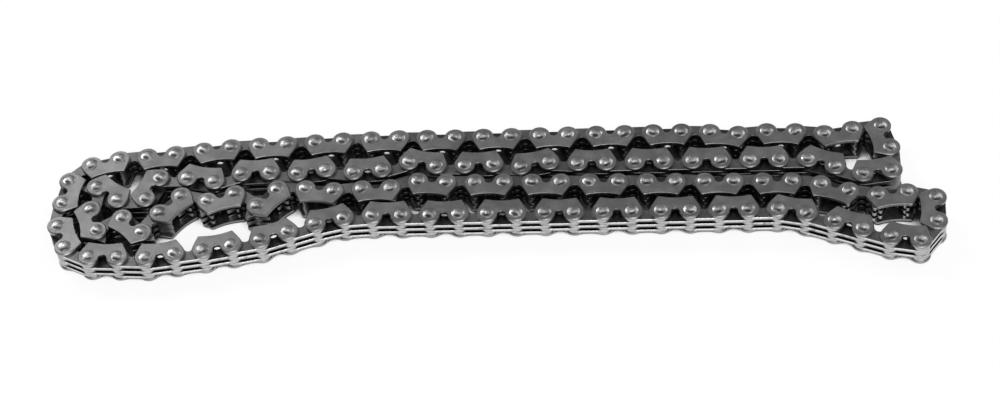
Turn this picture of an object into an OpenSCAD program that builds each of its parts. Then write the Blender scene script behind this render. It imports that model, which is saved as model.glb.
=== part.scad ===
// Silent timing chain (inverted tooth chain), an endless loop lying on its side.
// The loop is folded into four strands, one inside the other, as it lies in the photograph.
// X runs along the strands, Y across them, and Z is the width of the chain.
// The origin is the middle of the outline, at the bottom ends of the pins.

/* [Chain] */
// Distance from pin to pin
pitch = 6.35; // [6.2:0.01:7]
// Gap between neighbouring plate layers
layer_gap = 0.04; // [0.03:0.01:0.1]

/* [Toothed plates] */
// Thickness of a toothed plate
toothed_t = 0.9; // [0.7:0.05:1.2]
// Radius of the eye around each pin
eye_r = 2.1; // [1.9:0.05:2.3]
// Distance from the pin line to the tooth tips
tooth_depth = 3.6; // [3.3:0.05:3.8]
// Radius of the rounded tooth tips
tip_r = 0.35; // [0.25:0.05:0.5]
// How far a tip leans in from its pin
tip_lean = 0.2; // [0:0.05:0.4]
// Radius of the rounded crotch between the two teeth
crotch_r = 1; // [0.7:0.05:1.2]
// Distance from the pin line to the bottom of the crotch
crotch_floor = 0.5; // [0.2:0.05:0.9]

/* [Guide plates] */
// Thickness of a guide plate
guide_t = 0.7; // [0.5:0.05:1]
// Radius of the lobe around each pin
lobe_r = 2.4; // [2.2:0.05:2.6]
// How far the lobes sit from the pin line, towards the tooth side
lobe_rise = 0.1; // [0:0.05:0.3]
// Distance from the pin line to the inner edge
guide_depth = 3.8; // [3.4:0.05:3.9]
// Radius of the shoulders on the inner edge
shoulder_r = 0.3; // [0.2:0.05:0.5]
// How far a shoulder's centre stands out past its pin
shoulder_out = 0.45; // [0.1:0.05:0.5]
// Depth of the shallow arch in the inner edge
arch_depth = 0.5; // [0.2:0.05:0.8]
// Radius of the notch between the lobes
notch_r = 0.95; // [0.6:0.05:1.1]
// How far the notch reaches past the pin line
notch_reach = 0.35; // [0:0.05:0.6]

/* [Pins] */
// Diameter of a pin
pin_d = 2.4; // [2:0.05:2.8]
// Diameter of the riveted heads
head_d = 3; // [2.85:0.05:3.6]
// Height of a riveted head
head_h = 0.35; // [0.25:0.05:0.6]
// Bevel on the rim of a head
head_bevel = 0.15; // [0.05:0.05:0.2]
// Radial clearance of a pin in a guide plate
rivet_clear = 0.01; // [0.01:0.01:0.03]
// Radial clearance of a pin in a toothed plate
running_clear = 0.03; // [0.02:0.01:0.06]
// Clearance under a riveted head
seat_clear = 0.01; // [0.01:0.01:0.03]

/* [Hidden] */
$fn = 48;

// Guide rows and inner rows take turns: 64 of each, so 128 pins.
rows = 128;
half = pitch / 2;
// Straight sides run this far inside a true tangent, so that they cross each round part in one clear place.
sink = 0.01;

// Heights of the layers, from the bottom pin ends up
toothed_layers = 5;
z_low_guide = head_h + seat_clear;
z_toothed = z_low_guide + guide_t + layer_gap;
layer_step = toothed_t + layer_gap;
z_top_guide = z_toothed + toothed_layers * layer_step;
z_top_head = z_top_guide + guide_t + seat_clear;
chain_w = z_top_head + head_h;

// The route, as [how many pitches, heading in degrees], counter-clockwise round the loop.
// It starts at the second pin of guide row 16 and ends at the first pin of inner row 15.
front_strand = [[1, -25], [2, -2], [2, 9], [2, 12], [2, 20], [1, 15], [1, 4],
    [14, 0.5], [1, -11], [3, -20], [1, -10]];
low_right_turn = [[1, 54], [1, 89], [1, 166], [1, 186], [1, 169]];
third_strand = [[1, 162], [1, 172], [12, 179.5], [1, 176], [1, 196], [1, 182], [1, 184],
    [1, 174], [1, 180], [1, 229], [1, 146], [1, 198], [1, 166], [1, 228], [1, 238]];
inner_fold = [[1, 140], [1, 214], [1, 110], [1, 86], [1, -35], [1, 2], [1, 67], [1, 0]];
second_strand = [[1, -10], [1, 20], [1, 3], [1, -4], [1, 9], [1, -8], [1, 6], [1, 19],
    [1, -11], [1, 0], [1, 2], [1, -7], [1, 12], [1, -4], [8, 0.5]];
high_right_turn = [[2, -20], [1, 9], [1, 91], [1, 106], [1, 188]];
back_strand = [[1, 190], [1, 174], [1, 179], [1, 186], [1, 174], [1, 178], [8, 181], [2, 180],
    [2, 182], [2, 184], [2, 183], [2, 188], [2, 186], [1, 195], [1, 225], [1, 264]];
route = concat(front_strand, low_right_turn, third_strand, inner_fold, second_strand,
    high_right_turn, back_strand);
first_pin = 31;

// Walks along the route, one pitch at a time.
headings = [for (run = route) for (i = [1:run[0]]) run[1]];
walked = [for (i = 0, p = [0, 0]; i <= len(headings);
    p = p + (i < len(headings) ? step(headings[i]) : [0, 0]), i = i + 1) p];
function step(a) = pitch * [cos(a), sin(a)];

// The last pin is one pitch from both ends of the walk, on the outer side.
ends = walked[0] - walked[len(walked) - 1];
ends_gap = norm(ends);
closing_pin = (walked[0] + walked[len(walked) - 1]) / 2
    + [ends.y, -ends.x] / ends_gap * sqrt(pitch * pitch - ends_gap * ends_gap / 4);
loop = concat(walked, [closing_pin]);

// Pins by number, then moved so that the outline is centred on the origin.
function loop_pin(i) = loop[(i - first_pin + 2 * rows) % rows];
function turned(v, a) = [v.x * cos(a) - v.y * sin(a), v.x * sin(a) + v.y * cos(a)];
function way(i) = loop_pin(i + 1) - loop_pin(i);
function row_heading(i) = atan2(way(i).y, way(i).x);
eye_centres = [for (i = [0:rows - 1]) loop_pin(i)];
lobe_centres = [for (i = [0:2:rows - 1]) for (s = [0, 1])
    loop_pin(i + s) + turned([0, lobe_rise], row_heading(i))];
function reach(axis, side) = max(
    max([for (c = eye_centres) side * c[axis]]) + eye_r,
    max([for (c = lobe_centres) side * c[axis]]) + lobe_r);
centre = [for (axis = [0, 1]) (reach(axis, 1) - reach(axis, -1)) / 2];
function pin_place(i) = loop_pin(i) - centre;
function row_place(i) = (pin_place(i) + pin_place(i + 1)) / 2;
function two(k) = str(k < 10 ? "0" : "", k);

// Row numbers: guide row k is row 2k - 2, and inner row k is row 2k - 1.
function guide_row(k) = 2 * k - 2;
function inner_row(k) = 2 * k - 1;
inner_run_guides = concat([for (k = [31:64]) guide_row(k)], [guide_row(1)]);
inner_run_inners = concat([for (k = [30:64]) inner_row(k)], [inner_row(1)]);
open_pin = 30;

module on_row(i) {
    translate(row_place(i)) rotate(row_heading(i)) children();
}

// Two circles with straight sides between them: a rounded wedge.
module wedge(c1, r1, c2, r2) {
    axis = atan2(c2.y - c1.y, c2.x - c1.x);
    lean = acos((r1 - r2) / norm(c2 - c1));
    a = [cos(axis - lean), sin(axis - lean)];
    b = [cos(axis + lean), sin(axis + lean)];
    translate(c1) circle(r1);
    translate(c2) circle(r2);
    s1 = r1 - sink;
    s2 = r2 - sink;
    polygon([c1 + s1 * a, c2 + s2 * a, c2 + s2 * b, c1 + s1 * b]);
}

module pin_holes(clear) {
    for (s = [-1, 1]) translate([s * half, 0]) circle(pin_d / 2 + clear);
}

module toothed_outline() {
    difference() {
        union() {
            for (s = [-1, 1])
                wedge([s * half, 0], eye_r, [s * (half - tip_lean), tooth_depth - tip_r], tip_r);
            translate([-half, sink - eye_r]) square([pitch, eye_r + crotch_floor + crotch_r / 2]);
        }
        translate([0, crotch_floor + crotch_r]) circle(crotch_r);
        pin_holes(running_clear);
    }
}

module guide_outline() {
    inner_x = half + shoulder_out;
    arch_x = inner_x + shoulder_r / 3;
    arch_r = (arch_x * arch_x + arch_depth * arch_depth) / (2 * arch_depth);
    notch_y = notch_reach - notch_r;
    difference() {
        union() {
            for (s = [-1, 1])
                wedge([s * half, lobe_rise], lobe_r, [s * inner_x, guide_depth - shoulder_r], shoulder_r);
            polygon([[half, notch_y], [inner_x, guide_depth], [-inner_x, guide_depth], [-half, notch_y]]);
        }
        translate([0, guide_depth - arch_depth + arch_r]) circle(arch_r, $fn = 96);
        translate([0, notch_y]) circle(notch_r);
        translate([sink - notch_r, notch_y - lobe_r]) square([2 * (notch_r - sink), lobe_r]);
        pin_holes(rivet_clear);
    }
}

// One toothed plate, in layer 0 to 4
module toothed_plate(i, layer) {
    color([0.27, 0.28, 0.3]) on_row(i) translate([0, 0, z_toothed + layer * layer_step])
        linear_extrude(toothed_t) toothed_outline();
}

// One guide plate, at its own height
module guide_plate(i, z) {
    color([0.42, 0.43, 0.45]) on_row(i) translate([0, 0, z]) linear_extrude(guide_t) guide_outline();
}

// One riveted pin
module pin(i) {
    r = pin_d / 2;
    head_r = head_d / 2;
    color([0.62, 0.62, 0.63]) translate(pin_place(i)) rotate_extrude()
        polygon([[0, 0], [head_r - head_bevel, 0], [head_r, head_bevel], [head_r, head_h], [r, head_h],
            [r, z_top_head], [head_r, z_top_head], [head_r, chain_w - head_bevel],
            [head_r - head_bevel, chain_w], [0, chain_w]]);
}

// The pin where the loop is opened: a riveted end in each guide plate, and a slug in each
// toothed plate of the same row, so that the next row can leave it.
module open_pin_pieces(i) {
    r = pin_d / 2;
    head_r = head_d / 2;
    color([0.62, 0.62, 0.63]) translate(pin_place(i)) {
        for (m = [0, 1]) translate([0, 0, m * chain_w]) mirror([0, 0, m]) rotate_extrude()
            polygon([[0, 0], [head_r - head_bevel, 0], [head_r, head_bevel], [head_r, head_h],
                [r, head_h], [r, z_toothed - layer_gap], [0, z_toothed - layer_gap]]);
        for (layer = [1, 3]) translate([0, 0, z_toothed + layer * layer_step]) cylinder(h = toothed_t, r = r);
    }
}

// A guide row: two guide plates, two toothed plates between them, and its two pins
module guide_link(k) {
    i = guide_row(k);
    for (z = [z_low_guide, z_top_guide]) guide_plate(i, z);
    for (layer = [1, 3]) toothed_plate(i, layer);
    for (n = [i, i + 1])
        if (n == open_pin) open_pin_pieces(n);
        else pin(n);
}

// An inner row: three toothed plates
module inner_link(k) {
    for (layer = [0, 2, 4]) toothed_plate(inner_row(k), layer);
}

// The two inner strands with both right hand turns
module inner_run_guide_plates() {
    for (i = inner_run_guides, z = [z_low_guide, z_top_guide]) guide_plate(i, z);
}

module inner_run_toothed_plates() {
    for (i = inner_run_guides, layer = [1, 3]) toothed_plate(i, layer);
    for (i = inner_run_inners, layer = [0, 2, 4]) toothed_plate(i, layer);
}

module inner_run_pins() {
    for (i = inner_run_guides, s = [0, 1]) pin(i + s);
}

inner_run_guide_plates();
inner_run_toothed_plates();
inner_run_pins();
for (k = [2:15]) {
    guide_link(k);
    inner_link(k);
}
for (k = [16:30])
    guide_link(k);
for (k = [16:29])
    inner_link(k);
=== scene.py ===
# %% [markdown]
# A silent timing chain drives the camshafts of an engine. Its links are stacks of thin
# toothed plates, and every second row also has a guide plate on each outer side, which
# keeps the chain on its wheels. Riveted pins hold the rows together. This one lies on
# its side on a white table, folded into four strands, one inside the other.
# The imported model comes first, because each piece below has to sit where its solid is.

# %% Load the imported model
import math
import bmesh
import bpy
import numpy as np
from mathutils import Matrix, Vector


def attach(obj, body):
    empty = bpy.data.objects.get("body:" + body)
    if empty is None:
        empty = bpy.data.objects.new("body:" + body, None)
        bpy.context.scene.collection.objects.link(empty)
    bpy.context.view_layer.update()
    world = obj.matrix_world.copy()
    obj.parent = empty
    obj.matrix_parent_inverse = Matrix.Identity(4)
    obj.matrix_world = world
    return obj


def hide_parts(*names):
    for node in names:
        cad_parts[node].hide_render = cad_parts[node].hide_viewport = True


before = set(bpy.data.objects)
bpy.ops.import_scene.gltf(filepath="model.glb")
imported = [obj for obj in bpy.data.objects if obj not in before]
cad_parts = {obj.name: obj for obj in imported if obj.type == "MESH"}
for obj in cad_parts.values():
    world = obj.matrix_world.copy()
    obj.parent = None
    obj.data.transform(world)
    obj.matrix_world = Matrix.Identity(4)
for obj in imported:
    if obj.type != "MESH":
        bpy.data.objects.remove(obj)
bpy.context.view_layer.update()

# %% [markdown]
# The sizes are in millimetres, as in the part's source, and a mesh is made in metres.
# Naming them once keeps the plates, the pins and the route in step with each other.

# %% Sizes in millimetres
MM = 0.001
PITCH, LAYER_GAP = 6.35, 0.04
TOOTHED_T, EYE_R, TOOTH_DEPTH, TIP_R, TIP_LEAN = 0.9, 2.1, 3.6, 0.35, 0.2
CROTCH_R, CROTCH_FLOOR = 1.0, 0.5
GUIDE_T, LOBE_R, LOBE_RISE, GUIDE_DEPTH = 0.7, 2.4, 0.1, 3.8
SHOULDER_R, SHOULDER_OUT, ARCH_DEPTH, NOTCH_R, NOTCH_REACH = 0.3, 0.45, 0.5, 0.95, 0.35
PIN_R, HEAD_R, HEAD_H = 1.2, 1.5, 0.35
# The rub and painted highlight on a back edge fade between these two distances from its middle
RUB_AND_SHEEN_TO, RUB_AND_SHEEN_END = 1.8, 2.3
# A guide plate's shoulder arc ends at this angle, and the arch this far beyond its centre
SHOULDER_END, ARCH_BEYOND = 76, 0.07
# How far each stamped edge is rolled over
TOOTHED_ROLL, NOTCH_ROLL, LOBE_ROLL, SIDE_ROLL, ARCH_ROLL = 0.07, 0.1, 0.22, 0.14, 0.08
RIVET_CLEAR, RUNNING_CLEAR, SEAT_CLEAR = 0.01, 0.03, 0.01
HALF = PITCH / 2
Z_LOW_GUIDE = HEAD_H + SEAT_CLEAR
Z_TOOTHED = Z_LOW_GUIDE + GUIDE_T + LAYER_GAP
LAYER_STEP = TOOTHED_T + LAYER_GAP
Z_TOP_GUIDE = Z_TOOTHED + 5 * LAYER_STEP
Z_TOP_HEAD = Z_TOP_GUIDE + GUIDE_T + SEAT_CLEAR
CHAIN_W = Z_TOP_HEAD + HEAD_H
print("chain width:", round(CHAIN_W, 2), "mm")

# %% [markdown]
# A real chain has no curve of its own: it is a row of straight links, each one pitch
# long, turned a little against the last. So the route is a list of headings, and the
# pins are the running sum of one step in each heading. The last pin closes the loop.

# %% The route, as how many pitches and which heading in degrees
FRONT_STRAND = [(1, -25), (2, -2), (2, 9), (2, 12), (2, 20), (1, 15), (1, 4),
    (14, 0.5), (1, -11), (3, -20), (1, -10)]
LOW_RIGHT_TURN = [(1, 54), (1, 89), (1, 166), (1, 186), (1, 169)]
THIRD_STRAND = [(1, 162), (1, 172), (12, 179.5), (1, 176), (1, 196), (1, 182), (1, 184),
    (1, 174), (1, 180), (1, 229), (1, 146), (1, 198), (1, 166), (1, 228), (1, 238)]
INNER_FOLD = [(1, 140), (1, 214), (1, 110), (1, 86), (1, -35), (1, 2), (1, 67), (1, 0)]
SECOND_STRAND = [(1, -10), (1, 20), (1, 3), (1, -4), (1, 9), (1, -8), (1, 6), (1, 19),
    (1, -11), (1, 0), (1, 2), (1, -7), (1, 12), (1, -4), (8, 0.5)]
HIGH_RIGHT_TURN = [(2, -20), (1, 9), (1, 91), (1, 106), (1, 188)]
BACK_STRAND = [(1, 190), (1, 174), (1, 179), (1, 186), (1, 174), (1, 178), (8, 181), (2, 180),
    (2, 182), (2, 184), (2, 183), (2, 188), (2, 186), (1, 195), (1, 225), (1, 264)]
ROUTE = np.array(FRONT_STRAND + LOW_RIGHT_TURN + THIRD_STRAND + INNER_FOLD + SECOND_STRAND
    + HIGH_RIGHT_TURN + BACK_STRAND, float)
ROWS, FIRST_PIN = 128, 31


def unit(degrees):
    """Unit vectors (cos a, sin a) for an array of angles in degrees."""
    return np.stack([np.cos(np.radians(degrees)), np.sin(np.radians(degrees))], axis=-1)


def pins_on_route():
    """All pins of the loop. Pin n + 1 is pin n plus one pitch along heading n, so the pins
    are a running sum. The last pin lies one pitch from both ends of that walk: their
    midpoint, moved square to the line between them by the height of the triangle."""
    steps = PITCH * unit(np.repeat(ROUTE[:, 1], ROUTE[:, 0].astype(int)))
    walk = np.vstack([[0, 0], np.cumsum(steps, axis=0)])
    gap = walk[0] - walk[-1]
    far = np.linalg.norm(gap)
    rise = math.sqrt(PITCH**2 - far**2 / 4)
    last = (walk[0] + walk[-1]) / 2 + np.array([gap[1], -gap[0]]) / far * rise
    return np.roll(np.vstack([walk, last]), FIRST_PIN, axis=0)


PINS = pins_on_route()
WAY = np.roll(PINS, -1, axis=0) - PINS
HEADING = np.degrees(np.arctan2(WAY[:, 1], WAY[:, 0]))
RISE = LOBE_RISE * unit(HEADING[0::2] + 90)
LOBES = np.vstack([PINS[0::2] + RISE, PINS[1::2] + RISE])
LOW = np.minimum(PINS.min(0) - EYE_R, LOBES.min(0) - LOBE_R)
HIGH = np.maximum(PINS.max(0) + EYE_R, LOBES.max(0) + LOBE_R)
PINS = PINS - (LOW + HIGH) / 2
MIDDLES = (PINS + np.roll(PINS, -1, axis=0)) / 2
print("pins:", len(PINS), "outline:", (HIGH - LOW).round(2), "mm")

# %% [markdown]
# The photograph was taken from the front and well above, with a long lens. The camera's
# place and turn were worked out once from the pins, and are written here as numbers.

# %% Camera
shot = bpy.data.cameras.new("photo_camera")
shot.lens, shot.sensor_width, shot.sensor_fit = 93.6, 36.0, "HORIZONTAL"
shot.clip_start, shot.clip_end = 0.02, 20.0
camera = bpy.data.objects.new("photo_camera", shot)
bpy.context.scene.collection.objects.link(camera)
right, up = Vector((0.99616, 0.04484, -0.07518)), Vector((0.01063, 0.79055, 0.61231))
turn = Matrix((right, up, right.cross(up))).transposed().to_4x4()
camera.matrix_world = Matrix.Translation((0.051466, -0.352188, 0.456867)) @ turn
bpy.context.scene.camera = camera
print("camera:", [round(x, 3) for x in camera.location])

# %% [markdown]
# Every plate is stamped from strip, and its outline is made of arcs round the two pins,
# the tooth tips and the crotch, with straight sides that touch them. Each half of the
# outline is worked out once, counter-clockwise round the right-hand pin, from the middle
# of the back edge to the middle of the tooth side. The left half is its mirror image.

# %% Arcs and straight sides
def arc(centre, radius, first, last, steps):
    """Points on a circle: the centre plus the radius times (cos a, sin a), for evenly
    spaced angles a from first to last, in degrees."""
    return np.array(centre) + radius * unit(np.linspace(first, last, steps + 1))


def between(start, end, parts):
    """The inner points that cut a straight line into equal parts."""
    share = np.arange(1, parts)[:, None] / parts
    return np.array(start) + (np.array(end) - np.array(start)) * share


def touching(c1, r1, c2, r2):
    """The two directions in which a line touches both circles: the direction from one
    centre to the other, less and plus the angle whose cosine is (r1 - r2) / distance."""
    dx, dy = c2[0] - c1[0], c2[1] - c1[1]
    axis = math.degrees(math.atan2(dy, dx))
    lean = math.degrees(math.acos((r1 - r2) / math.hypot(dx, dy)))
    return axis - lean, axis + lean


print("quarter circle:", arc((0, 0), 1, 0, 90, 2).round(2).tolist())

# %% Half of a toothed plate's outline
def toothed_edge():
    """Back edge, eye arc, straight flank, tip arc, inner flank, ledge and crotch arc. With
    them comes a value of polish and painted highlight for each point: the back edge is
    polished by the chain guides and gets the most painted highlight, the tips are polished
    by the wheels, and the flanks and the crotch get next to none, so that they take painted
    shade. The last list is how far the upper edge is rolled over."""
    eye, tip = (HALF, 0), (HALF - TIP_LEAN, TOOTH_DEPTH - TIP_R)
    outer, inner = touching(eye, EYE_R, tip, TIP_R)
    ledge = CROTCH_FLOOR + CROTCH_R / 2
    back = arc(eye, EYE_R, -90, outer, 7)
    point = arc(tip, TIP_R, outer, inner, 3)
    corner = [[HALF - math.sqrt(EYE_R**2 - ledge**2), ledge]]
    crotch = arc((0, CROTCH_FLOOR + CROTCH_R), CROTCH_R, -30, -90, 3)
    rubbed_and_lit = [[0, -EYE_R], [RUB_AND_SHEEN_TO, -EYE_R], [RUB_AND_SHEEN_END, -EYE_R]]
    line = np.vstack([rubbed_and_lit, back, between(back[-1], point[0], 3), point,
        between(point[-1], corner[0], 3), corner, crotch])
    # Polish and painted highlight along this half of the outline
    wear_and_sheen = np.repeat([1.0, 0.5, 0.06, 0.5, 0.02, 0.0], [2, 9, 2, 4, 2, 5])
    return line, wear_and_sheen, np.full(len(line), TOOTHED_ROLL)


# %% Half of a guide plate's outline
def guide_edge():
    """Notch arc, lobe arc, straight slanted side, shoulder arc and the shallow arch, with
    the value of polish and painted highlight at each point: least in the notch, which
    takes painted shade, most on the lobes and the slanted sides. The punch rolls the round
    lobes over much more than the arch."""
    inner_x, notch_y = HALF + SHOULDER_OUT, NOTCH_REACH - NOTCH_R
    lobe, shoulder = (HALF, LOBE_RISE), (inner_x, GUIDE_DEPTH - SHOULDER_R)
    arch_x = inner_x + SHOULDER_R / 3
    arch_r = (arch_x**2 + ARCH_DEPTH**2) / (2 * ARCH_DEPTH)
    outer, _ = touching(lobe, LOBE_R, shoulder, SHOULDER_R)
    start = -180 + math.degrees(math.acos((HALF - NOTCH_R) / LOBE_R))
    run_out = 90 - math.degrees(math.atan2(inner_x + ARCH_BEYOND, arch_r - ARCH_DEPTH))
    side = arc(lobe, LOBE_R, start, outer, 12)
    top = arc(shoulder, SHOULDER_R, outer, SHOULDER_END, 3)
    arch = arc((0, GUIDE_DEPTH - ARCH_DEPTH + arch_r), arch_r, -run_out, -90, 4)
    line = np.vstack([arc((0, notch_y), NOTCH_R, 90, 0, 4), side,
        between(side[-1], top[0], 3), top, arch[1:]])
    # Polish and painted highlight along this half of the outline
    wear_and_sheen = np.repeat([0.05, 0.6, 0.8, 0.5], [5, 13, 6, 4])
    roll = np.repeat([NOTCH_ROLL, LOBE_ROLL, SIDE_ROLL, ARCH_ROLL], [5, 13, 6, 4])
    return line, wear_and_sheen, roll


TOOTHED_EDGE, GUIDE_EDGE = toothed_edge(), guide_edge()
print("outline points:", len(TOOTHED_EDGE[0]), "and", len(GUIDE_EDGE[0]), "in half a plate")

# %% [markdown]
# A stamped plate is flat, with its upper edge rolled over by the punch, and it is that
# thin round-over that catches the light. The plate is one surface: for each direction
# round the pin there is a loop through the hole's wall, the lower face, the side, the
# round-over and the upper face. The two halves share their points on the middle line.

# %% One plate as rings round its pins
# Below the first value of polish and painted highlight an edge takes painted shade, above
# the second only its upper half is left clear of it
SHADED_BELOW, HALF_SHADED_ABOVE = 0.3, 0.9
SEAM_PARTS = 3


def plate(outline, hole_r, thickness, rub_and_sheen, edge_shade, oil=0.0):
    """Points, quads, rim mask and painted shade mask of one plate, from z = 0 up to its
    thickness.

    Two parameters: j, the direction round the pin, and k, the ring. Ring 0 is the hole at
    the lower face, 1 the outline at the lower face, 2 the outline one roll below the
    upper face, 3 the outline moved inwards by the roll at the upper face, and 4 the hole
    at the upper face. A hole's point is the pin's centre plus the hole's radius times the
    unit vector towards the outline's point. Outwards is the direction of travel between
    the two neighbours, turned a quarter turn to the right. The rim mask, polish and
    painted highlight, is the outline's value for them times the two values given for rings
    1 and 2, and nothing on the flat faces. The painted shade mask is the value given for
    the flat faces on them, and the value given for the edge on rings 1 and 2 wherever the
    outline's value is low. Ring 1 keeps its painted shade where the outline's value is
    highest, so that only the upper half of the back edge stays light."""
    edge, wear_and_sheen, roll = outline
    pin = np.array([HALF, 0.0])
    mirror = np.array([-1.0, 1.0])
    seam = between(edge[-1], edge[0], SEAM_PARTS)
    loop = np.vstack([edge, seam])
    wide = np.vstack([edge[1] * mirror, edge, edge[-2] * mirror])
    run = wide[2:] - wide[:-2]
    out = np.stack([run[:, 1], -run[:, 0]], axis=1)
    out /= np.linalg.norm(out, axis=1, keepdims=True)
    inset = np.vstack([edge - roll[:, None] * out, seam])
    spoke = loop - pin
    hole = pin + hole_r * spoke / np.linalg.norm(spoke, axis=1, keepdims=True)
    flat = np.stack([hole, loop, loop, inset, hole])
    n = len(loop)
    height = np.zeros((5, n))
    height[2:] = thickness
    height[2, :len(edge)] -= roll
    right = np.dstack([flat, height]).reshape(-1, 3)
    points = np.vstack([right, right * [-1, 1, 1]])
    along = np.concatenate([wear_and_sheen, np.zeros(len(seam))])
    rim = np.tile((np.array([0, *rub_and_sheen, 0, 0])[:, None] * along).ravel(), 2)
    # Painted shade on edges whose polish and painted highlight are low, on the lower edge of the
    # highest ones, and the given face value on the flat faces
    shaded_edge = np.concatenate([wear_and_sheen < SHADED_BELOW, np.zeros(len(seam))])
    shaded_lower_edge = np.concatenate([(wear_and_sheen < SHADED_BELOW) | (wear_and_sheen > HALF_SHADED_ABOVE), np.zeros(len(seam))])
    faces = np.full(n, oil)
    painted_shade = np.tile(np.concatenate([faces, edge_shade * shaded_lower_edge, edge_shade * shaded_edge, faces, faces]), 2)
    ring, j = np.meshgrid(np.arange(5), np.arange(n), indexing="ij")
    quads = np.stack([ring * n + j, ring * n + (j + 1) % n,
        (ring + 1) % 5 * n + (j + 1) % n, (ring + 1) % 5 * n + j], axis=-1)
    walls = np.ones((5, n), bool)
    walls[1:3, len(edge) - 1:] = False
    quads = quads[walls]
    index = np.arange(10 * n)
    shared = (np.abs(points[:, 0]) < 1e-9) & (index >= 5 * n)
    index[shared] -= 5 * n
    left = index[quads + 5 * n][:, ::-1]
    used, quads = np.unique(np.vstack([quads, left]), return_inverse=True)
    return points[used], quads.reshape(-1, 4), rim[used], painted_shade[used]


def turned_over(shape, thickness):
    """The same plate with its round-over below: z becomes thickness - z, quads reversed."""
    points, quads, rim, painted_shade = shape
    flipped = points * [1, 1, -1] + [0, 0, thickness]
    return flipped, quads[:, ::-1], rim, painted_shade


# The second toothed plate also has painted shade on its flat faces, for the lower layers down in
# the gaps between plates
TOOTHED, SHADED_TOOTHED = (plate(TOOTHED_EDGE, PIN_R + RUNNING_CLEAR, TOOTHED_T, rub_and_sheen=(0.6, 0.9),
    edge_shade=0.9, oil=oil) for oil in (0.0, 0.8))
GUIDE_UP = plate(GUIDE_EDGE, PIN_R + RIVET_CLEAR, GUIDE_T, rub_and_sheen=(1.0, 0.9), edge_shade=0.3)
GUIDE_DOWN = turned_over(GUIDE_UP, GUIDE_T)
print("quads: toothed plate", len(TOOTHED[1]), "guide plate", len(GUIDE_UP[1]))

# %% [markdown]
# Rows repeat one plate many times, so its points are worked out once and then turned and
# moved for all rows in one go. Each copy also gets a tone, a number from 0 to 1 that the
# materials read, because no two plates in a real chain are quite the same shade.

# %% Copies along the chain
def tone_of(number):
    """An even scatter from 0 to 1: the fraction of a large multiple of a sine."""
    return np.mod(np.sin(12.9898 * np.asarray(number, float) + 4.1) * 43758.5453, 1.0)


# Rows 29 to 66 turn their back edges to the front or the right, towards the lamps: their
# rims keep all their polish and painted highlight, and on the other rows both are turned down
AWAY_ROW_SHEEN, LIT_ROWS = 0.16, slice(29, 67)
ROW_SHEEN = np.full(ROWS, AWAY_ROW_SHEEN)
ROW_SHEEN[LIT_ROWS] = 1.0


def copies(shape, rows, heights):
    """One shape at every row and height. Each point is turned by the row's heading, moved
    to the middle between the row's two pins, and lifted to the height."""
    points, quads, rim, painted_shade = shape
    rows, heights = np.repeat(rows, len(heights)), np.tile(heights, len(rows))
    c, s = unit(HEADING[rows]).T
    x = c[:, None] * points[:, 0] - s[:, None] * points[:, 1] + MIDDLES[rows, 0][:, None]
    y = s[:, None] * points[:, 0] + c[:, None] * points[:, 1] + MIDDLES[rows, 1][:, None]
    z = points[:, 2] + heights[:, None]
    count = len(rows)
    faces = quads + len(points) * np.arange(count)[:, None, None]
    tone = np.repeat(tone_of(rows * 7 + heights * 3), len(points))
    # Polish and painted highlight of the rim, turned down on rows that face away from the lamps
    rim = (ROW_SHEEN[rows][:, None] * rim).ravel()
    placed = np.stack([x, y, z], axis=-1).reshape(-1, 3)
    return placed, faces.reshape(-1, 4), rim, tone, np.tile(painted_shade, count)


def joined(*shapes):
    """Several sets of points, quads and masks as one, with each set's quads counted on."""
    starts = np.cumsum([0] + [len(s[0]) for s in shapes[:-1]])
    quads = np.vstack([s[1] + start for s, start in zip(shapes, starts)])
    masks = (np.concatenate([s[k] for s in shapes]) for k in (2, 3, 4))
    return np.vstack([s[0] for s in shapes]), quads, *masks


# %% [markdown]
# A pin is riveted: its end is struck until it spreads into a low, uneven dome. Here that
# is a surface of revolution whose height also depends on the direction, so that each
# head has its own dent and its own lopsided crown. The centres of both ends are closed
# with a last ring that shrinks to nothing, and the doubled points there are merged.

# %% Riveted pins
HEAD_RINGS = np.array([0.0, 0.3, 0.58, 0.85, 1.1, 1.32, 1.46, HEAD_R])
AROUND = 16
# The crown's share that falls off, the dent's place and half sizes, and the depth of the painted
# shade in it
CROWN_FALL, DENT_FORWARD, DENT_ACROSS, DENT_DEEP, DENT_SHADE_DEEP = 0.72, 0.78, 0.8, 0.36, 0.3
# The painted highlight ring's half sizes and width, and how far both are shifted by chance
RING_ACROSS, RING_DEEP, RING_WIDTH, SHIFT = 0.85, 0.55, 0.42, 0.3
# The height of wave and hammer marks, how far out they go, the room over them, one turn
RIPPLE, MARKED_R, SPARE, TURN = 0.03, 1.4, 0.02, 6.28


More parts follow.
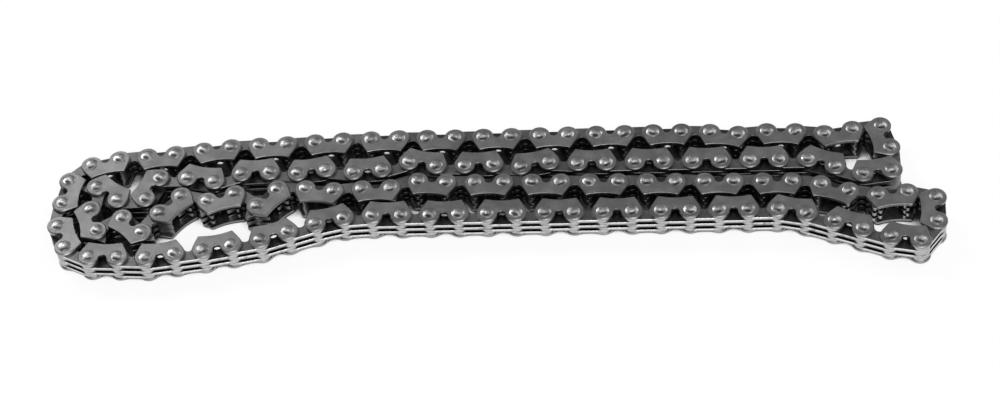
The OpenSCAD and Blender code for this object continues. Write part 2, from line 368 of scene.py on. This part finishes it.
def struck_head(radius, angle, number):
    """Height of a struck head above its seat, and the painted shade and painted highlight
    of each point. The crown falls from its full height as one minus the third power of
    radius / head radius, down to a thin rim. A dent, a bell shape longer across than deep,
    is taken away in front of the middle, a slow wave tips the crown, and the product of two
    sines across it and along it stands for the marks of the hammer. Painted shade fills the
    dent. Round it runs a broken ring of painted highlight: a bell across the ring, times a
    wave along it, and strongest on the far side."""
    seed = tone_of(number * 3 + 1)[:, None, None]
    other = tone_of(number * 5 + 2)[:, None, None]
    out = radius / HEAD_R
    crown = HEAD_H * (1 - CROWN_FALL * out**3)
    lean = (seed - 0.5) * 0.9
    x = radius * np.cos(angle) - SHIFT * (other - 0.5)
    y = radius * np.sin(angle) + DENT_FORWARD + SHIFT * (seed - 0.5)
    u = x * np.cos(lean) + y * np.sin(lean)
    v = y * np.cos(lean) - x * np.sin(lean)
    bell = np.exp(-((u / DENT_ACROSS) ** 2) - ((v / DENT_DEEP) ** 2))
    # Painted shade in the dent
    dent_shade_bell = np.exp(-((u / (0.6 + 0.3 * seed)) ** 2) - (((v + 0.05) / DENT_SHADE_DEEP) ** 2))
    dent_shade = np.clip(2.6 * dent_shade_bell, 0, 1)
    # A broken ring of painted highlight round the dent
    away, along = np.hypot(u / RING_ACROSS, v / RING_DEEP), np.arctan2(v, u)
    broken = 0.3 + 0.35 * np.sin(along) + 0.35 * np.sin(2 * along + TURN * other + 3 * seed)
    painted_highlight = np.clip(np.exp(-(((away - 1.0) / RING_WIDTH) ** 2)) * broken, 0, 1)
    wave = RIPPLE * out * np.sin(2 * angle + TURN * other)
    marks = RIPPLE * np.sin(5.5 * x + TURN * seed) * np.sin(6.5 * y + TURN * other)
    marks = marks * (radius < MARKED_R)
    dent = (0.18 + 0.1 * other) * bell
    height = crown - dent + wave + marks - RIPPLE * out - SPARE
    return np.clip(height, 0.01, HEAD_H), dent_shade, painted_highlight


def rings_of_pins(numbers, lowest, highest, top_head, bottom_head):
    """Closed shapes of revolution at the given pins. The parameters are the ring, from the
    middle of the lower end, along the side, to the middle of the upper end, and the angle.
    A head adds its own rings; an end without one is cut flat."""
    numbers = np.asarray(numbers)
    a = np.linspace(0, 2 * np.pi, AROUND, endpoint=False)[None, None, :]
    blank = np.zeros((len(numbers), 1, AROUND))

    def head(rings, seat, way):
        height, dent_shade, painted_highlight = struck_head(rings[None, :, None], a, numbers)
        radius = rings[None, :, None] + blank
        return radius, seat + way * height + blank, dent_shade + blank, painted_highlight + blank

    def level(rings, z):
        r = np.array(rings, float)[None, :, None] + blank
        return r, z + 0 * r, 0 * r, 0 * r

    parts = []
    if bottom_head:
        parts += [head(HEAD_RINGS[[0, 2, 4, 6, 7]], HEAD_H, -1), level([HEAD_R, PIN_R], HEAD_H)]
    else:
        parts += [level([0, PIN_R], lowest)]
    if top_head:
        parts += [level([PIN_R, HEAD_R], Z_TOP_HEAD), head(HEAD_RINGS[::-1], Z_TOP_HEAD, 1)]
    else:
        parts += [level([PIN_R, 0], highest)]
    # On the heads, the third band is the painted shade and the fourth the painted highlight
    radius, z, painted_shade, rim = (np.concatenate(bands, axis=1) for bands in zip(*parts))
    z = np.where(radius == 0, z.mean(axis=2, keepdims=True), z)
    x = radius * np.cos(a) + PINS[numbers % ROWS, 0][:, None, None]
    y = radius * np.sin(a) + PINS[numbers % ROWS, 1][:, None, None]
    points = np.stack([x, y, z], axis=-1).reshape(-1, 3)
    rings = radius.shape[1]
    k, j = np.meshgrid(np.arange(rings - 1), np.arange(AROUND), indexing="ij")
    one = np.stack([k * AROUND + j, k * AROUND + (j + 1) % AROUND,
        (k + 1) * AROUND + (j + 1) % AROUND, (k + 1) * AROUND + j], axis=-1).reshape(-1, 4)
    quads = one + rings * AROUND * np.arange(len(numbers))[:, None, None]
    tone = np.repeat(tone_of(numbers * 11), rings * AROUND)
    return points, quads.reshape(-1, 4), rim.reshape(-1), tone, painted_shade.reshape(-1)


def pins(numbers):
    """Whole pins, with a head on each end."""
    return rings_of_pins(numbers, 0, CHAIN_W, top_head=True, bottom_head=True)


def open_pin(number):
    """The pin where the loop is opened: two riveted ends and two slugs, on one row."""
    n = [number]
    slugs = [rings_of_pins(n, z, z + TOOTHED_T, top_head=False, bottom_head=False)
        for z in (Z_TOOTHED + LAYER_STEP, Z_TOOTHED + 3 * LAYER_STEP)]
    low = rings_of_pins(n, 0, Z_TOOTHED - LAYER_GAP, top_head=False, bottom_head=True)
    high = rings_of_pins(n, Z_TOP_GUIDE, CHAIN_W, top_head=True, bottom_head=False)
    return joined(low, high, *slugs)


print("one pin:", len(pins([0])[1]), "quads")

# %% [markdown]
# Steel needs more than one grey. Three effects do most of the work, and each one is a
# node group, built once and used by every finish with its own values: a fine grain left
# by tumbling, cloudy patches of oil and heat treatment, and a polished rim with a
# painted highlight, which also brings the painted shade.

# %% A helper for node groups
def group(name, inputs, outputs):
    """An empty shader node group with named number inputs and outputs."""
    tree = bpy.data.node_groups.new(name, "ShaderNodeTree")
    for title, value in inputs.items():
        socket = tree.interface.new_socket(title, in_out="INPUT", socket_type="NodeSocketFloat")
        socket.default_value = value
    for title in outputs:
        tree.interface.new_socket(title, in_out="OUTPUT", socket_type="NodeSocketFloat")
    return tree, tree.nodes.new("NodeGroupInput"), tree.nodes.new("NodeGroupOutput")


def math_node(tree, operation, a, b=None, clamp=False):
    """A maths node with its inputs linked or set."""
    node = tree.nodes.new("ShaderNodeMath")
    node.operation, node.use_clamp = operation, clamp
    for socket, value in zip(node.inputs, (a, b)):
        if isinstance(value, bpy.types.NodeSocket):
            tree.links.new(value, socket)
        elif value is not None:
            socket.default_value = value
    return node.outputs[0]


def noise(tree, scale, detail=3.0, roughness=0.6, stretch=None):
    """Noise on Object coordinates, which are metres on every piece. It may be stretched."""
    place = tree.nodes.new("ShaderNodeTexCoord").outputs["Object"]
    if stretch:
        mapping = tree.nodes.new("ShaderNodeMapping")
        mapping.inputs["Scale"].default_value = stretch
        tree.links.new(place, mapping.inputs["Vector"])
        place = mapping.outputs["Vector"]
    node = tree.nodes.new("ShaderNodeTexNoise")
    node.inputs["Detail"].default_value = detail
    node.inputs["Roughness"].default_value = roughness
    tree.links.new(place, node.inputs["Vector"])
    if isinstance(scale, bpy.types.NodeSocket):
        tree.links.new(scale, node.inputs["Scale"])
    else:
        node.inputs["Scale"].default_value = scale
    return node.outputs["Fac"]


def ramp(tree, value, low, high):
    """0 below low, 1 above high, and a smooth step between them."""
    node = tree.nodes.new("ShaderNodeMapRange")
    node.interpolation_type = "SMOOTHSTEP"
    node.inputs["From Min"].default_value = low
    node.inputs["From Max"].default_value = high
    tree.links.new(value, node.inputs["Value"])
    return node.outputs["Result"]


# %% Tumbled grain: a height for the bump and a speckle mask
def tumbled_grain():
    """Fine noise and long nicks as a height, and the fine noise as a speckle mask."""
    tree, given, result = group("tumbled_grain", {"Scale": 9000.0}, ["Height", "Speckle"])
    fine = noise(tree, given.outputs["Scale"], 4.0, 0.7)
    nicks = noise(tree, 2600.0, 2.0, 0.5, (1.0, 0.25, 1.0))
    height = math_node(tree, "ADD", math_node(tree, "MULTIPLY", fine, 0.6),
        math_node(tree, "MULTIPLY", nicks, 0.4))
    tree.links.new(height, result.inputs["Height"])
    tree.links.new(ramp(tree, fine, 0.42, 0.66), result.inputs["Speckle"])
    return tree


# %% Oil clouds: a slow mask that changes colour and roughness
def oil_clouds():
    """A wide slow noise for the colour, and a finer one for the roughness."""
    tree, given, result = group("oil_clouds", {"Scale": 260.0}, ["Cloud", "Smear"])
    cloud = noise(tree, given.outputs["Scale"], 3.0, 0.55)
    smear = noise(tree, 900.0, 3.0, 0.6, (0.5, 1.0, 1.0))
    tree.links.new(ramp(tree, cloud, 0.35, 0.68), result.inputs["Cloud"])
    tree.links.new(ramp(tree, smear, 0.45, 0.7), result.inputs["Smear"])
    return tree


# %% Rim: where the rolled edge is polished and carries a painted highlight, with the painted shade
# How much of the stored painted shade is laid on
SHADE_SHARE = 0.85


def polished_and_lit_rim():
    """The rim's polish and painted highlight stored on the points, broken up by a noise, with
    the tone and the painted shade.
    """
    tree, given, result = group("polished_and_lit_rim", {"Amount": 1.0, "Scale": 700.0},
        ["Mask", "Tone", "PaintedShade"])
    rim, tone, painted_shade = (tree.nodes.new("ShaderNodeAttribute") for _ in range(3))
    rim.attribute_name, tone.attribute_name, painted_shade.attribute_name = "rim", "tone", "painted_shade"
    patchy = ramp(tree, noise(tree, given.outputs["Scale"], 2.0, 0.5), 0.05, 0.5)
    worn_and_lit = math_node(tree, "MULTIPLY", rim.outputs["Fac"], patchy)
    worn_and_lit = math_node(tree, "MULTIPLY", worn_and_lit, given.outputs["Amount"], clamp=True)
    tree.links.new(worn_and_lit, result.inputs["Mask"])
    tree.links.new(tone.outputs["Fac"], result.inputs["Tone"])
    tree.links.new(math_node(tree, "MULTIPLY", painted_shade.outputs["Fac"], SHADE_SHARE),
        result.inputs["PaintedShade"])
    return tree


GRAIN, CLOUDS, RIM = tumbled_grain(), oil_clouds(), polished_and_lit_rim()
print("effects:", [g.name for g in (GRAIN, CLOUDS, RIM)])

# %% [markdown]
# All plates and pins are steel, so the finishes share one recipe: a dark and a light
# shade mixed by the clouds, the plate's tone and the speckle, then the rim's polish and
# painted highlight on top, and last the painted shade in near black. Only the values
# differ. Metal takes its whole look from what it mirrors, so the roughness matters as
# much as the colour.

# %% A steel finish from the shared effects
# The near-black colour of the painted shade, and how much smoother the rim is
SHADE_BLACK, RIM_POLISH = (0.012, 0.012, 0.012), 0.08
CLOUD_SCALE, BUMP_HEIGHT = 260.0, 0.00004
CLOUD_SHARE, TONE_SHARE, SPECKLE_SHARE = 0.45, 0.3, 0.25


def mixed(tree, share, first, second):
    """A colour between two, each of them a colour or another node's output."""
    node = tree.nodes.new("ShaderNodeMix")
    node.data_type = "RGBA"
    tree.links.new(share, node.inputs["Factor"])
    for socket, value in ((node.inputs[6], first), (node.inputs[7], second)):
        if isinstance(value, bpy.types.NodeSocket):
            tree.links.new(value, socket)
        else:
            socket.default_value = (*value, 1.0)
    return node.outputs[2]


def steel(name, dark, light, worn_and_lit, rough, spread, grain_scale, bump, rim_amount, rim_scale=700.0):
    """A brushed and tumbled steel. dark, light and the rim's colour for polish and painted
    highlight are its three shades, rough its middle roughness and spread how far the smears
    move it. Scales are per metre."""
    material = bpy.data.materials.new(name)
    material.use_nodes = True
    tree = material.node_tree
    shader = tree.nodes["Principled BSDF"]
    shader.inputs["Metallic"].default_value = 1.0
    made = {}
    for effect, settings in ((GRAIN, {"Scale": grain_scale}), (CLOUDS, {"Scale": CLOUD_SCALE}),
            (RIM, {"Amount": rim_amount, "Scale": rim_scale})):
        node = tree.nodes.new("ShaderNodeGroup")
        node.node_tree = effect
        for title, value in settings.items():
            node.inputs[title].default_value = value
        made[effect.name] = node.outputs
    grain, clouds, rim = made["tumbled_grain"], made["oil_clouds"], made["polished_and_lit_rim"]
    cloudy = math_node(tree, "MULTIPLY", clouds["Cloud"], CLOUD_SHARE)
    toned = math_node(tree, "MULTIPLY", rim["Tone"], TONE_SHARE)
    speckled = math_node(tree, "MULTIPLY", grain["Speckle"], SPECKLE_SHARE)
    shade = math_node(tree, "ADD", math_node(tree, "ADD", cloudy, toned), speckled, clamp=True)
    colour = mixed(tree, shade, dark, light)
    # The rim's polish and painted highlight, then the painted shade
    colour = mixed(tree, rim["Mask"], colour, worn_and_lit)
    colour = mixed(tree, rim["PaintedShade"], colour, SHADE_BLACK)
    tree.links.new(colour, shader.inputs["Base Color"])
    smears = math_node(tree, "MULTIPLY", clouds["Smear"], spread)
    polish = math_node(tree, "MULTIPLY", rim["Mask"], RIM_POLISH)
    roughness = math_node(tree, "ADD", smears, rough - spread / 2)
    roughness = math_node(tree, "SUBTRACT", roughness, polish, clamp=True)
    tree.links.new(roughness, shader.inputs["Roughness"])
    relief = tree.nodes.new("ShaderNodeBump")
    relief.inputs["Strength"].default_value = bump
    relief.inputs["Distance"].default_value = BUMP_HEIGHT
    tree.links.new(grain["Height"], relief.inputs["Height"])
    tree.links.new(relief.outputs["Normal"], shader.inputs["Normal"])
    return material


# The third colour is the rims' polish and painted highlight; on the pins it is painted highlight
# only
GUIDE_STEEL = steel("guide_plate_steel", (0.145, 0.145, 0.147), (0.25, 0.25, 0.253),
    (0.5, 0.5, 0.5), rough=0.42, spread=0.1, grain_scale=9000.0, bump=0.35, rim_amount=0.8)
TOOTHED_STEEL = steel("toothed_plate_steel", (0.095, 0.095, 0.096), (0.175, 0.175, 0.177),
    (0.92, 0.92, 0.92), rough=0.4, spread=0.1, grain_scale=8000.0, bump=0.35, rim_amount=1.2)
PIN_STEEL = steel("pin_steel", (0.18, 0.18, 0.182), (0.35, 0.35, 0.352),
    (0.95, 0.95, 0.95), rough=0.4, spread=0.12, grain_scale=2200.0, bump=1.0,
    rim_amount=1.3, rim_scale=3500.0)
print("finishes:", GUIDE_STEEL.name, TOOTHED_STEEL.name, PIN_STEEL.name)

# %% [markdown]
# A finished piece is one mesh in metres, with its place in its points. It rides on the
# body whose solids it stands for, and hides them.

# %% Put a piece into the scene
# The angle in degrees over which an edge stays sharp
SHARP_OVER = 32


def weld_poles(mesh):
    """Merge the doubled points in the middle of each head, so that its surface is closed."""
    work = bmesh.new()
    work.from_mesh(mesh)
    bmesh.ops.remove_doubles(work, verts=work.verts, dist=1e-6)
    work.to_mesh(mesh)
    work.free()


def add_piece(name, shape, material, finish, body):
    """A mesh object from points and quads in millimetres, with its rim, tone and painted shade
    masks stored on the points, a pin's doubled points merged, and steep edges kept sharp."""
    points, quads, rim, tone, painted_shade = shape
    flat = np.ascontiguousarray(quads, np.int32)
    mesh = bpy.data.meshes.new(name)
    mesh.vertices.add(len(points))
    mesh.vertices.foreach_set("co", (points * MM).astype(np.float32).ravel())
    mesh.loops.add(flat.size)
    mesh.loops.foreach_set("vertex_index", flat.ravel())
    mesh.polygons.add(len(flat))
    mesh.polygons.foreach_set("loop_start", np.arange(0, flat.size, 4, dtype=np.int32))
    mesh.update(calc_edges=True)
    for title, values in (("rim", rim), ("tone", tone), ("painted_shade", painted_shade)):
        stored = mesh.attributes.new(title, "FLOAT", "POINT").data
        stored.foreach_set("value", values.astype(np.float32))
    if finish == "pin_steel":
        weld_poles(mesh)
    mesh.polygons.foreach_set("use_smooth", np.ones(len(mesh.polygons), bool))
    mesh.set_sharp_from_angle(angle=math.radians(SHARP_OVER))
    mesh.materials.append(material)
    piece = bpy.data.objects.new(name, mesh)
    bpy.context.scene.collection.objects.link(piece)
    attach(piece, body)
    return piece


# %% [markdown]
# Guide row k is row 2k - 2 of the loop, and the inner row after it is row 2k - 1. The two
# outer strands move, a row at a time, and the rest of the loop is one body.

# %% The rows of each body
def guide_row(k):
    """The row of guide link k, counted from 0."""
    return 2 * k - 2


def inner_row(k):
    """The row of inner link k, counted from 0."""
    return 2 * k - 1


RUN_GUIDES = np.array([guide_row(k) for k in [*range(31, 65), 1]])
RUN_INNERS = np.array([inner_row(k) for k in [*range(30, 65), 1]])
OPEN_PIN = 30
ODD_LAYERS = Z_TOOTHED + LAYER_STEP * np.array([1, 3])
EVEN_LAYERS = Z_TOOTHED + LAYER_STEP * np.array([0, 2, 4])
print("rows in the inner run:", len(RUN_GUIDES), "guide and", len(RUN_INNERS), "inner")


# %% The inner run
def guide_plates(rows):
    """Both guide plates of each row, each with its round-over on the outer side."""
    upper, lower = copies(GUIDE_UP, rows, [Z_TOP_GUIDE]), copies(GUIDE_DOWN, rows, [Z_LOW_GUIDE])
    return joined(upper, lower)


def toothed_plates(rows, heights):
    """Toothed plates of each row. The top layer has no painted shade on its faces; the lower
    layers, down in the gaps between plates, have it.
    """
    top = heights == EVEN_LAYERS[-1]
    return joined(copies(SHADED_TOOTHED, rows, heights[~top]), copies(TOOTHED, rows, heights[top]))


piece = add_piece("inner_run_guides", guide_plates(RUN_GUIDES), GUIDE_STEEL,
    "guide_plate_steel", "inner_run")
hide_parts("inner_run_guide_plates")
piece = add_piece("inner_run_teeth", joined(toothed_plates(RUN_GUIDES, ODD_LAYERS),
    toothed_plates(RUN_INNERS, EVEN_LAYERS)), TOOTHED_STEEL, "toothed_plate_steel", "inner_run")
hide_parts("inner_run_toothed_plates")
piece = add_piece("inner_run_rivets", pins(np.concatenate([RUN_GUIDES, RUN_GUIDES + 1])),
    PIN_STEEL, "pin_steel", "inner_run")
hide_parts("inner_run_pins")
print("inner run made")


# %% The moving rows of the two outer strands
def guide_link(node, k):
    """A guide row: two guide plates, two toothed plates and its two pins."""
    row = np.array([guide_row(k)])
    whole = [n for n in (row[0], row[0] + 1) if n != OPEN_PIN]
    rivets = pins(whole)
    if OPEN_PIN in (row[0], row[0] + 1):
        rivets = joined(rivets, open_pin(OPEN_PIN))
    for part, shape, material, finish in (
            ("guides", guide_plates(row), GUIDE_STEEL, "guide_link_steel"),
            ("teeth", toothed_plates(row, ODD_LAYERS), TOOTHED_STEEL, "toothed_plate_steel"),
            ("rivets", rivets, PIN_STEEL, "pin_steel")):
        piece = add_piece(f"{node}_{part}", shape, material, finish, node)
        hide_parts(node)


def inner_link(node, k):
    """An inner row: three toothed plates."""
    piece = add_piece(f"{node}_teeth", toothed_plates(np.array([inner_row(k)]), EVEN_LAYERS),
        TOOTHED_STEEL, "toothed_plate_steel", node)
    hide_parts(node)


for k in range(2, 16):
    guide_link(f"upper_guide_link_{k:02d}", k)
    inner_link(f"upper_inner_link_{k:02d}", k)
for k in range(16, 31):
    guide_link(f"lower_guide_link_{k:02d}", k)
for k in range(16, 30):
    inner_link(f"lower_inner_link_{k:02d}", k)

# %% [markdown]
# The chain lies on a white table. The floor is white for the camera and for the mirror
# images in the steel, and still takes a soft shadow, with painted shade added deep in
# the chain's gaps.

# %% Floor
# How far a spot of the floor looks for steel over it, in metres, and the shares of open
# sky between which its light paint, and its plain white, come in; below them it is
# painted in shade
OPEN_WITHIN, PAINT_FROM_TO, WHITE_FROM_TO = 0.012, (0.16, 0.26), (0.18, 0.3)
SHADE, LIGHT_PAINT, WHITE_SHARE, TABLE_REACH = (0.02, 0.02, 0.02), (0.9, 0.9, 0.9), 0.85, 3.0


def white_table():
    """White that the camera and the steel see as white. Where the chain closes round the
    floor, as deep in its gaps, it is painted in shade: both the share of white and the
    paint itself fall with the open part of the sky over the floor."""
    material = bpy.data.materials.new("white_table")
    material.use_nodes = True
    tree = material.node_tree
    shader, out = tree.nodes["Principled BSDF"], tree.nodes["Material Output"]
    shader.inputs["Roughness"].default_value = 0.9
    shader.inputs["Specular IOR Level"].default_value = 0.0
    path, glow, mix, sky = (tree.nodes.new("ShaderNode" + kind)
        for kind in ("LightPath", "Emission", "MixShader", "AmbientOcclusion"))
    seen = math_node(tree, "MAXIMUM", path.outputs["Is Camera Ray"], path.outputs["Is Glossy Ray"])
    sky.samples = 32
    sky.inputs["Distance"].default_value = OPEN_WITHIN
    open_sky = sky.outputs["AO"]
    paint = mixed(tree, ramp(tree, open_sky, *PAINT_FROM_TO), SHADE, LIGHT_PAINT)
    tree.links.new(paint, shader.inputs["Base Color"])
    seen = math_node(tree, "MULTIPLY", seen, ramp(tree, open_sky, *WHITE_FROM_TO))
    tree.links.new(math_node(tree, "MULTIPLY", seen, WHITE_SHARE), mix.inputs[0])
    tree.links.new(shader.outputs[0], mix.inputs[1])
    tree.links.new(glow.outputs[0], mix.inputs[2])
    tree.links.new(mix.outputs[0], out.inputs["Surface"])
    return material


table = bpy.data.meshes.new("table")
corners = [(x * TABLE_REACH, y * TABLE_REACH, 0) for x, y in ((-1, -1), (1, -1), (1, 1), (-1, 1))]
table.from_pydata(corners, [], [(0, 1, 2, 3)])
table.materials.append(white_table())
floor = bpy.data.objects.new("table", table)
bpy.context.scene.collection.objects.link(floor)
print("floor made")

# %% [markdown]
# A soft lamp stands to the left and behind, so the plates at the left mirror it, as in the
# photograph, and a weaker one to the right lifts the right end. A third one above the
# camera keeps the table white.

# %% Lamps and world
def soft_lamp(name, place, target, size, power):
    """A square area lamp that faces its target. Place and size in metres, power in watts."""
    data = bpy.data.lights.new(name, "AREA")
    data.shape, data.size, data.energy = "SQUARE", size, power
    lamp = bpy.data.objects.new(name, data)
    lamp.location = place
    lamp.rotation_mode = "QUATERNION"
    lamp.rotation_quaternion = (Vector(target) - Vector(place)).to_track_quat("-Z", "Y")
    bpy.context.scene.collection.objects.link(lamp)


soft_lamp("left_lamp", (-0.75, 0.75, 0.85), (-0.05, 0.0, 0.0), size=0.5, power=6.5)
soft_lamp("right_lamp", (0.62, 0.72, 0.85), (0.06, 0.0, 0.0), size=0.4, power=2.4)
soft_lamp("front_lamp", (0.3, -1.0, 1.6), (0.0, 0.0, 0.0), size=1.2, power=26.0)
world = bpy.data.worlds.new("studio")
bpy.context.scene.world = world
world.use_nodes = True
backdrop = world.node_tree.nodes["Background"]
backdrop.inputs["Color"].default_value = (1, 1, 1, 1)
backdrop.inputs["Strength"].default_value = 0.35
bpy.context.scene.view_settings.view_transform = "Standard"
